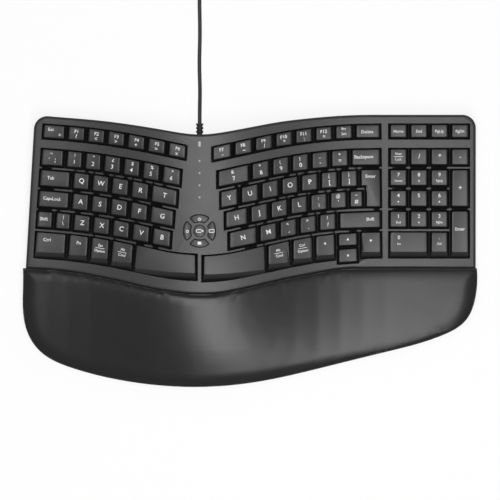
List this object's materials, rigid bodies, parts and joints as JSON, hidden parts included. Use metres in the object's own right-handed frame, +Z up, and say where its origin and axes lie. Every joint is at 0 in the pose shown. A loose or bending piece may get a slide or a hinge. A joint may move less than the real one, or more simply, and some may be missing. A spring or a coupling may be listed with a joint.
{
  "type": "ergonomic split keyboard",
  "caption": "Wired one-piece split keyboard with a wave-shaped cover, curved key rows, numeric pad, media buttons and a padded palm rest.",
  "frame": {"origin": "on the desk, under the middle of the keyboard's outline", "axes": "+X to the user's right, +Y away from the user towards the cord, +Z up"},
  "size_m": [0.423, 0.4381, 0.0397],
  "materials": {
    "keycap_plastic": "fine matte texture, black",
    "console_button_plastic": "fine matte texture, black",
    "cover_plastic": "fine matte texture, black",
    "base_plastic": "fine spark texture, black",
    "palm_rest_leatherette": "soft smooth leatherette, black",
    "frame_plastic": "moulded, black",
    "dome_rubber": "translucent silicone",
    "membrane_film": "printed film",
    "plate_steel": "galvanised",
    "board_laminate": "solder mask, green",
    "lens_plastic": "smoked clear",
    "screw_steel": "blackened",
    "pad_rubber": "matte",
    "cord_jacket": "soft matte jacket, black",
    "tie_plastic": "moulded, black",
    "plug_metal": "nickel plated",
    "tongue_plastic": "moulded, white"
  },
  "bodies": {
    "keyboard_base": {"bottom_case": "base_plastic", "top_cover": "cover_plastic", "palm_rest_carrier": "base_plastic", "palm_rest_pad": "palm_rest_leatherette", "key_frame": "frame_plastic", "rubber_dome_sheet": "dome_rubber", "membrane_sheet": "membrane_film", "backing_plate": "plate_steel", "controller_board": "board_laminate", "console_dome_pad": "dome_rubber", "indicator_lenses": "lens_plastic", "case_screws": "screw_steel", "rubber_pads": "pad_rubber", "strain_relief": "cord_jacket", "usb_cable": "cord_jacket", "usb_cable_coil": "cord_jacket", "cable_tie": "tie_plastic", "usb_plug_grip": "cord_jacket", "usb_plug_shell": "plug_metal", "usb_plug_tongue": "tongue_plastic"},
    "escape_key": {"escape_key": "keycap_plastic"},
    "left_function_keys": {"left_function_keys": "keycap_plastic"},
    "left_number_keys": {"left_number_keys": "keycap_plastic"},
    "tab_key": {"tab_key": "keycap_plastic"},
    "left_upper_letter_keys": {"left_upper_letter_keys": "keycap_plastic"},
    "caps_lock_key": {"caps_lock_key": "keycap_plastic"},
    "left_home_letter_keys": {"left_home_letter_keys": "keycap_plastic"},
    "left_shift_key": {"left_shift_key": "keycap_plastic"},
    "left_lower_letter_keys": {"left_lower_letter_keys": "keycap_plastic"},
    "left_ctrl_key": {"left_ctrl_key": "keycap_plastic"},
    "left_modifier_keys": {"left_modifier_keys": "keycap_plastic"},
    "left_space_key": {"left_space_key": "keycap_plastic"},
    "delete_key": {"delete_key": "keycap_plastic"},
    "right_function_keys": {"right_function_keys": "keycap_plastic"},
    "backspace_key": {"backspace_key": "keycap_plastic"},
    "right_number_keys": {"right_number_keys": "keycap_plastic"},
    "right_upper_letter_keys": {"right_upper_letter_keys": "keycap_plastic"},
    "right_home_letter_keys": {"right_home_letter_keys": "keycap_plastic"},
    "right_shift_key": {"right_shift_key": "keycap_plastic"},
    "right_lower_letter_keys": {"right_lower_letter_keys": "keycap_plastic"},
    "arrow_right_key": {"arrow_right_key": "keycap_plastic"},
    "arrow_left_key": {"arrow_left_key": "keycap_plastic"},
    "right_modifier_keys": {"right_modifier_keys": "keycap_plastic"},
    "right_space_key": {"right_space_key": "keycap_plastic"},
    "enter_key": {"enter_key": "keycap_plastic"},
    "arrow_up_key": {"arrow_up_key": "keycap_plastic"},
    "arrow_down_key": {"arrow_down_key": "keycap_plastic"},
    "navigation_keys": {"navigation_keys": "keycap_plastic"},
    "numpad_operator_keys": {"numpad_operator_keys": "keycap_plastic"},
    "numpad_digit_keys": {"numpad_digit_keys": "keycap_plastic"},
    "numpad_zero_key": {"numpad_zero_key": "keycap_plastic"},
    "numpad_plus_key": {"numpad_plus_key": "keycap_plastic"},
    "numpad_enter_key": {"numpad_enter_key": "keycap_plastic"},
    "media_up_button": {"media_up_button": "console_button_plastic"},
    "media_left_button": {"media_left_button": "console_button_plastic"},
    "media_down_button": {"media_down_button": "console_button_plastic"},
    "media_right_button": {"media_right_button": "console_button_plastic"},
    "media_centre_button": {"media_centre_button": "console_button_plastic"},
    "tilt_foot_left": {"tilt_foot_left": "base_plastic"},
    "tilt_foot_right": {"tilt_foot_right": "base_plastic"}
  },
  "joints": [
    {"name": "tilt_foot_left_hinge", "type": "hinge", "parent": "keyboard_base", "child": "tilt_foot_left", "pos_m": [-0.16305, 0.1086, 0.003], "axis": [1, 0, 0], "range_deg": [0, 95]},
    {"name": "tilt_foot_right_hinge", "type": "hinge", "parent": "keyboard_base", "child": "tilt_foot_right", "pos_m": [0.17305, 0.1086, 0.003], "axis": [1, 0, 0], "range_deg": [0, 95]},
    {"name": "media_up_button_press", "type": "slide", "parent": "keyboard_base", "child": "media_up_button", "axis": [0, 0, 1], "range_m": [-0.0008, 0], "stiffness_N_per_m": 400, "springref_m": 0.0006, "deforming": ["console_dome_pad"]},
    {"name": "media_left_button_press", "type": "slide", "parent": "keyboard_base", "child": "media_left_button", "axis": [0, 0, 1], "range_m": [-0.0008, 0], "stiffness_N_per_m": 400, "springref_m": 0.0006, "deforming": ["console_dome_pad"]},
    {"name": "media_down_button_press", "type": "slide", "parent": "keyboard_base", "child": "media_down_button", "axis": [0, 0, 1], "range_m": [-0.0008, 0], "stiffness_N_per_m": 400, "springref_m": 0.0006, "deforming": ["console_dome_pad"]},
    {"name": "media_right_button_press", "type": "slide", "parent": "keyboard_base", "child": "media_right_button", "axis": [0, 0, 1], "range_m": [-0.0008, 0], "stiffness_N_per_m": 400, "springref_m": 0.0006, "deforming": ["console_dome_pad"]},
    {"name": "media_centre_button_press", "type": "slide", "parent": "keyboard_base", "child": "media_centre_button", "axis": [0, 0, 1], "range_m": [-0.0008, 0], "stiffness_N_per_m": 400, "springref_m": 0.0006, "deforming": ["console_dome_pad"]},
    {"name": "escape_key_press", "type": "slide", "parent": "keyboard_base", "child": "escape_key", "axis": [0, 0, 1], "range_m": [-0.0025, 0], "stiffness_N_per_m": 140, "springref_m": 0.001, "deforming": ["rubber_dome_sheet"]},
    {"name": "left_function_keys_press", "type": "slide", "parent": "keyboard_base", "child": "left_function_keys", "axis": [0, 0, 1], "range_m": [-0.0025, 0], "stiffness_N_per_m": 840, "springref_m": 0.001, "deforming": ["rubber_dome_sheet"]},
    {"name": "left_number_keys_press", "type": "slide", "parent": "keyboard_base", "child": "left_number_keys", "axis": [0, 0, 1], "range_m": [-0.0025, 0], "stiffness_N_per_m": 980, "springref_m": 0.001, "deforming": ["rubber_dome_sheet"]},
    {"name": "tab_key_press", "type": "slide", "parent": "keyboard_base", "child": "tab_key", "axis": [0, 0, 1], "range_m": [-0.0025, 0], "stiffness_N_per_m": 140, "springref_m": 0.001, "deforming": ["rubber_dome_sheet"]},
    {"name": "left_upper_letter_keys_press", "type": "slide", "parent": "keyboard_base", "child": "left_upper_letter_keys", "axis": [0, 0, 1], "range_m": [-0.0025, 0], "stiffness_N_per_m": 700, "springref_m": 0.001, "deforming": ["rubber_dome_sheet"]},
    {"name": "caps_lock_key_press", "type": "slide", "parent": "keyboard_base", "child": "caps_lock_key", "axis": [0, 0, 1], "range_m": [-0.0025, 0], "stiffness_N_per_m": 140, "springref_m": 0.001, "deforming": ["rubber_dome_sheet"]},
    {"name": "left_home_letter_keys_press", "type": "slide", "parent": "keyboard_base", "child": "left_home_letter_keys", "axis": [0, 0, 1], "range_m": [-0.0025, 0], "stiffness_N_per_m": 700, "springref_m": 0.001, "deforming": ["rubber_dome_sheet"]},
    {"name": "left_shift_key_press", "type": "slide", "parent": "keyboard_base", "child": "left_shift_key", "axis": [0, 0, 1], "range_m": [-0.0025, 0], "stiffness_N_per_m": 140, "springref_m": 0.001, "deforming": ["rubber_dome_sheet"]},
    {"name": "left_lower_letter_keys_press", "type": "slide", "parent": "keyboard_base", "child": "left_lower_letter_keys", "axis": [0, 0, 1], "range_m": [-0.0025, 0], "stiffness_N_per_m": 840, "springref_m": 0.001, "deforming": ["rubber_dome_sheet"]},
    {"name": "left_ctrl_key_press", "type": "slide", "parent": "keyboard_base", "child": "left_ctrl_key", "axis": [0, 0, 1], "range_m": [-0.0025, 0], "stiffness_N_per_m": 140, "springref_m": 0.001, "deforming": ["rubber_dome_sheet"]},
    {"name": "left_modifier_keys_press", "type": "slide", "parent": "keyboard_base", "child": "left_modifier_keys", "axis": [0, 0, 1], "range_m": [-0.0025, 0], "stiffness_N_per_m": 420, "springref_m": 0.001, "deforming": ["rubber_dome_sheet"]},
    {"name": "left_space_key_press", "type": "slide", "parent": "keyboard_base", "child": "left_space_key", "axis": [0, 0, 1], "range_m": [-0.0025, 0], "stiffness_N_per_m": 140, "springref_m": 0.001, "deforming": ["rubber_dome_sheet"]},
    {"name": "delete_key_press", "type": "slide", "parent": "keyboard_base", "child": "delete_key", "axis": [0, 0, 1], "range_m": [-0.0025, 0], "stiffness_N_per_m": 140, "springref_m": 0.001, "deforming": ["rubber_dome_sheet"]},
    {"name": "right_function_keys_press", "type": "slide", "parent": "keyboard_base", "child": "right_function_keys", "axis": [0, 0, 1], "range_m": [-0.0025, 0], "stiffness_N_per_m": 980, "springref_m": 0.001, "deforming": ["rubber_dome_sheet"]},
    {"name": "backspace_key_press", "type": "slide", "parent": "keyboard_base", "child": "backspace_key", "axis": [0, 0, 1], "range_m": [-0.0025, 0], "stiffness_N_per_m": 140, "springref_m": 0.001, "deforming": ["rubber_dome_sheet"]},
    {"name": "right_number_keys_press", "type": "slide", "parent": "keyboard_base", "child": "right_number_keys", "axis": [0, 0, 1], "range_m": [-0.0025, 0], "stiffness_N_per_m": 840, "springref_m": 0.001, "deforming": ["rubber_dome_sheet"]},
    {"name": "right_upper_letter_keys_press", "type": "slide", "parent": "keyboard_base", "child": "right_upper_letter_keys", "axis": [0, 0, 1], "range_m": [-0.0025, 0], "stiffness_N_per_m": 980, "springref_m": 0.001, "deforming": ["rubber_dome_sheet"]},
    {"name": "right_home_letter_keys_press", "type": "slide", "parent": "keyboard_base", "child": "right_home_letter_keys", "axis": [0, 0, 1], "range_m": [-0.0025, 0], "stiffness_N_per_m": 980, "springref_m": 0.001, "deforming": ["rubber_dome_sheet"]},
    {"name": "right_shift_key_press", "type": "slide", "parent": "keyboard_base", "child": "right_shift_key", "axis": [0, 0, 1], "range_m": [-0.0025, 0], "stiffness_N_per_m": 140, "springref_m": 0.001, "deforming": ["rubber_dome_sheet"]},
    {"name": "right_lower_letter_keys_press", "type": "slide", "parent": "keyboard_base", "child": "right_lower_letter_keys", "axis": [0, 0, 1], "range_m": [-0.0025, 0], "stiffness_N_per_m": 700, "springref_m": 0.001, "deforming": ["rubber_dome_sheet"]},
    {"name": "arrow_right_key_press", "type": "slide", "parent": "keyboard_base", "child": "arrow_right_key", "axis": [0, 0, 1], "range_m": [-0.0025, 0], "stiffness_N_per_m": 140, "springref_m": 0.001, "deforming": ["rubber_dome_sheet"]},
    {"name": "arrow_left_key_press", "type": "slide", "parent": "keyboard_base", "child": "arrow_left_key", "axis": [0, 0, 1], "range_m": [-0.0025, 0], "stiffness_N_per_m": 140, "springref_m": 0.001, "deforming": ["rubber_dome_sheet"]},
    {"name": "right_modifier_keys_press", "type": "slide", "parent": "keyboard_base", "child": "right_modifier_keys", "axis": [0, 0, 1], "range_m": [-0.0025, 0], "stiffness_N_per_m": 280, "springref_m": 0.001, "deforming": ["rubber_dome_sheet"]},
    {"name": "right_space_key_press", "type": "slide", "parent": "keyboard_base", "child": "right_space_key", "axis": [0, 0, 1], "range_m": [-0.0025, 0], "stiffness_N_per_m": 140, "springref_m": 0.001, "deforming": ["rubber_dome_sheet"]},
    {"name": "enter_key_press", "type": "slide", "parent": "keyboard_base", "child": "enter_key", "axis": [0, 0, 1], "range_m": [-0.0025, 0], "stiffness_N_per_m": 140, "springref_m": 0.001, "deforming": ["rubber_dome_sheet"]},
    {"name": "arrow_up_key_press", "type": "slide", "parent": "keyboard_base", "child": "arrow_up_key", "axis": [0, 0, 1], "range_m": [-0.0025, 0], "stiffness_N_per_m": 140, "springref_m": 0.001, "deforming": ["rubber_dome_sheet"]},
    {"name": "arrow_down_key_press", "type": "slide", "parent": "keyboard_base", "child": "arrow_down_key", "axis": [0, 0, 1], "range_m": [-0.0025, 0], "stiffness_N_per_m": 140, "springref_m": 0.001, "deforming": ["rubber_dome_sheet"]},
    {"name": "navigation_keys_press", "type": "slide", "parent": "keyboard_base", "child": "navigation_keys", "axis": [0, 0, 1], "range_m": [-0.0025, 0], "stiffness_N_per_m": 560, "springref_m": 0.001, "deforming": ["rubber_dome_sheet"]},
    {"name": "numpad_operator_keys_press", "type": "slide", "parent": "keyboard_base", "child": "numpad_operator_keys", "axis": [0, 0, 1], "range_m": [-0.0025, 0], "stiffness_N_per_m": 560, "springref_m": 0.001, "deforming": ["rubber_dome_sheet"]},
    {"name": "numpad_digit_keys_press", "type": "slide", "parent": "keyboard_base", "child": "numpad_digit_keys", "axis": [0, 0, 1], "range_m": [-0.0025, 0], "stiffness_N_per_m": 1400, "springref_m": 0.001, "deforming": ["rubber_dome_sheet"]},
    {"name": "numpad_zero_key_press", "type": "slide", "parent": "keyboard_base", "child": "numpad_zero_key", "axis": [0, 0, 1], "range_m": [-0.0025, 0], "stiffness_N_per_m": 140, "springref_m": 0.001, "deforming": ["rubber_dome_sheet"]},
    {"name": "numpad_plus_key_press", "type": "slide", "parent": "keyboard_base", "child": "numpad_plus_key", "axis": [0, 0, 1], "range_m": [-0.0025, 0], "stiffness_N_per_m": 140, "springref_m": 0.001, "deforming": ["rubber_dome_sheet"]},
    {"name": "numpad_enter_key_press", "type": "slide", "parent": "keyboard_base", "child": "numpad_enter_key", "axis": [0, 0, 1], "range_m": [-0.0025, 0], "stiffness_N_per_m": 140, "springref_m": 0.001, "deforming": ["rubber_dome_sheet"]}
  ]
}
